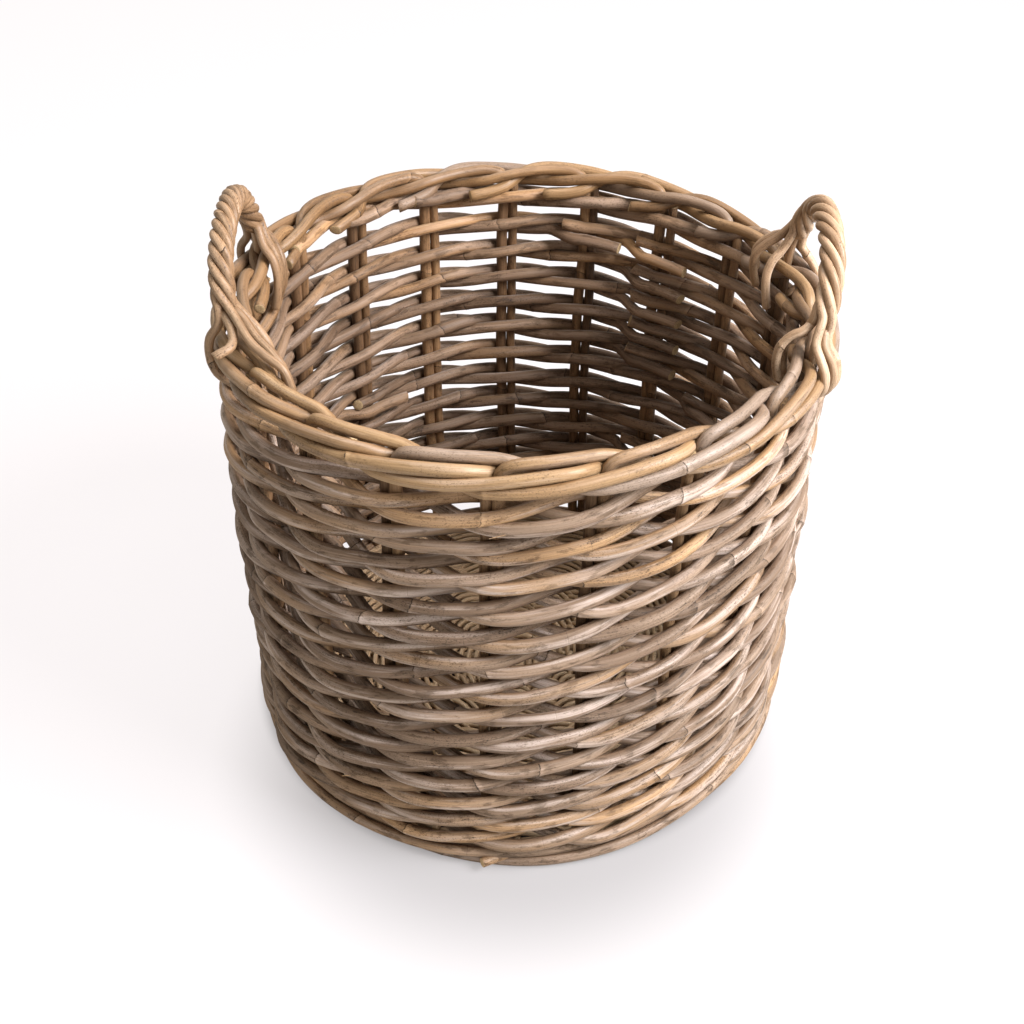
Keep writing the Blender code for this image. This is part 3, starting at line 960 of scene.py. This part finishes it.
def rope_line(arch, phase, facing, lay_on_top, lay_at_feet):
    """A left-handed helix round the arch, which opens out from its top towards its feet."""
    reach = distances(arch)
    stops = np.linspace(0.0, reach[-1], 150)
    centres = points_at(arch, reach, stops)
    along = np.gradient(centres, axis=0)
    along /= np.linalg.norm(along, axis=1)[:, None]
    outward = np.array([1.0, 0.0, 0.0]) - along * along[:, :1]
    outward /= np.linalg.norm(outward, axis=1)[:, None]
    across = np.cross(along, outward)
    from_top = np.abs(stops / reach[-1] - 0.5) * 2.0
    lay = lay_on_top + (lay_at_feet - lay_on_top) * from_top**2
    turned = np.cumsum(np.gradient(stops) / lay)
    turn = (phase - facing * 2.0 * np.pi * turned)[:, None]
    line = centres + (outward * np.cos(turn) + across * np.sin(turn)) * ROPE_HELIX_RADIUS
    return line * np.array([facing, 1.0, 1.0])


def lacing_routes(side, facing, foot, strands, splay):
    """Where each strand goes from the rope's end at this foot, by the strand's number."""
    place = math.atan2(foot[1], foot[0]) / STEP
    is_front = foot[1] < 0.0
    away = -facing if is_front else facing
    outermost_first = sorted(range(ROPE_STRANDS), key=lambda number: -np.hypot(*strands[number][splay][:2]))
    routes = {}
    for number, route in zip(outermost_first, LACING[side, "front" if is_front else "back"]):
        routes[number] = [
            on_wall(place + away * passed, radius * MILLIMETRE, RIM_TOP + up * MILLIMETRE)
            for passed, radius, up in route
        ]
    return routes


def build_handle(side, facing, lift, back_share, lay_on_top, lay_at_feet, tone, shade):
    """A rope of five strands twisted round a core, whose ends are laced separately round the rim."""
    arch = hoop_line(lift, back_share)
    core = arch * np.array([facing, 1.0, 1.0])
    near_leg = [core[0] - (0, 0, 0.05), core[0] - (0, 0, 0.02)]
    far_leg = [core[-1] - (0, 0, 0.02), core[-1] - (0, 0, 0.05)]
    hoop = Piece(f"{side}_handle_core", ROPE_RATTAN, [f"{side}_handle_hoop"])
    core_line = smooth_line(near_leg + list(core[::6]) + far_leg, 6)
    hoop.rod(settle(core_line), CORE_RADIUS, tone=0.4, shade=-0.3)
    hoop.finish()

    phases = [2.0 * math.pi * number / ROPE_STRANDS for number in range(ROPE_STRANDS)]
    strands = [rope_line(arch, phase, facing, lay_on_top, lay_at_feet) for phase in phases]
    near = lacing_routes(side, facing, core[0], strands, SPLAY)
    far = lacing_routes(side, facing, core[-1], strands, -1 - SPLAY)
    for number, strand in enumerate(strands):
        line = settle(smooth_line(near[number][::-1] + list(strand[SPLAY:-SPLAY:4]) + far[number], 8))
        node = f"{side}_handle_strand_{number % 3 + 1}"
        piece = Piece(f"{side}_handle_rope_{number + 1}", ROPE_RATTAN, [node])
        piece.rod(
            line,
            ROPE_STRAND_RADIUS * rng.uniform(0.95, 1.05),
            tone=tone + rng.uniform(-0.25, 0.25),
            shade=shade + rng.uniform(-0.3, 0.3),
            slants=(rng.uniform(-0.5, 0.5), rng.uniform(-0.5, 0.5)),
            knots=(0.22, 0.40),
            spacing=0.0035,
        )
        piece.finish()


def build_handles():
    for side, shape in HANDLES.items():
        build_handle(side, *shape)


# ---------------------------------------------------------------- stage, light and camera

CAMERA_PLACE = Vector((0.0, -1.0386, 1.0028))
CAMERA_PITCH = math.radians(38.33)
CAMERA_YAW = math.radians(-0.34)
CAMERA_ROLL = math.radians(1.52)
CAMERA_LENS = 54.57


def build_camera():
    camera = bpy.data.objects.new("camera", bpy.data.cameras.new("camera"))
    camera.data.lens = CAMERA_LENS
    camera.data.sensor_width = 36.0
    camera.data.clip_start = 0.05
    level = math.cos(CAMERA_PITCH)
    forward = Vector((math.sin(CAMERA_YAW) * level, math.cos(CAMERA_YAW) * level, -math.sin(CAMERA_PITCH)))
    right = Vector((math.cos(CAMERA_YAW), -math.sin(CAMERA_YAW), 0.0))
    up = right.cross(forward)
    tilted_right = right * math.cos(CAMERA_ROLL) + up * math.sin(CAMERA_ROLL)
    tilted_up = up * math.cos(CAMERA_ROLL) - right * math.sin(CAMERA_ROLL)
    turn = Matrix((tilted_right, tilted_up, -forward)).transposed()
    camera.matrix_world = Matrix.Translation(CAMERA_PLACE) @ turn.to_4x4()
    bpy.context.scene.collection.objects.link(camera)
    bpy.context.scene.camera = camera


def build_floor():
    """A pale floor that glows for the camera alone. The glow fades close to the basket's foot, most in front
    of it, as a painted contact shadow with a faint pink tint, and is off under the basket as painted shadow
    there.
    """
    s = Shader("studio_floor")
    seen = s.node("ShaderNodeLightPath", output="Is Camera Ray")
    colour = s.mix(seen, (0.42, 0.40, 0.37, 1.0), (0.100, 0.098, 0.101, 1.0))
    place = s.node("ShaderNodeTexCoord", output="Object")
    # painted contact shadow: the glow fades with the distance from a point a little in front of the basket's
    # middle
    from_shadow_middle = s.node("ShaderNodeVectorMath", {0: place, 1: (0.0, 0.10, 0.0)}, operation="ADD")
    glow_and_painted_shadow = s.fade(s.length(from_shadow_middle), 0.15, 0.27, 0.48, 0.83)
    # painted shadow under the basket: no glow inside its foot
    glow_and_painted_shadow = s.math("MULTIPLY", glow_and_painted_shadow, s.fade(s.length(place), 0.212, 0.238))
    s.surface({
        "Base Color": colour,
        "Roughness": 0.85,
        # the glow's faint pink shows in the painted floor shadow
        "Emission Color": (1.0, 0.955, 0.958, 1.0),
        "Emission Strength": s.math("MULTIPLY", seen, glow_and_painted_shadow),
    })
    bpy.ops.mesh.primitive_plane_add(size=30.0, location=(0.0, 0.0, -0.0002))
    floor = bpy.context.object
    floor.name = "studio_floor"
    floor.data.materials.append(s.material)


def soft_light(name, place, target, size, power, colour):
    lamp = bpy.data.lights.new(name, "AREA")
    lamp.shape = "DISK"
    lamp.size = size
    lamp.energy = power
    lamp.color = colour
    light = bpy.data.objects.new(name, lamp)
    light.location = place
    light.rotation_euler = (Vector(target) - Vector(place)).to_track_quat("-Z", "Y").to_euler()
    bpy.context.scene.collection.objects.link(light)


def build_light():
    world = bpy.data.worlds.new("studio")
    world.use_nodes = True
    background = world.node_tree.nodes["Background"]
    background.inputs["Color"].default_value = (1.0, 0.945, 0.87, 1.0)
    background.inputs["Strength"].default_value = 0.62
    bpy.context.scene.world = world
    middle = (0.0, 0.0, 0.25)
    soft_light("key", (1.70, -0.66, 1.95), middle, 1.4, 165.0, (0.99, 0.985, 1.0))
    soft_light("overhead", (-0.1, 0.95, 2.6), middle, 1.8, 42.0, (1.0, 0.99, 0.97))
    soft_light("front", (0.6, -1.9, 0.5), (0.0, 0.0, 0.12), 1.0, 8.0, (1.0, 0.98, 0.96))
    scene = bpy.context.scene
    scene.view_settings.view_transform = "Standard"
    scene.view_settings.look = "None"


build_camera()
build_floor()
build_light()
build_stakes()
build_waling()
build_rim()
build_foot()
build_base()
build_handles()
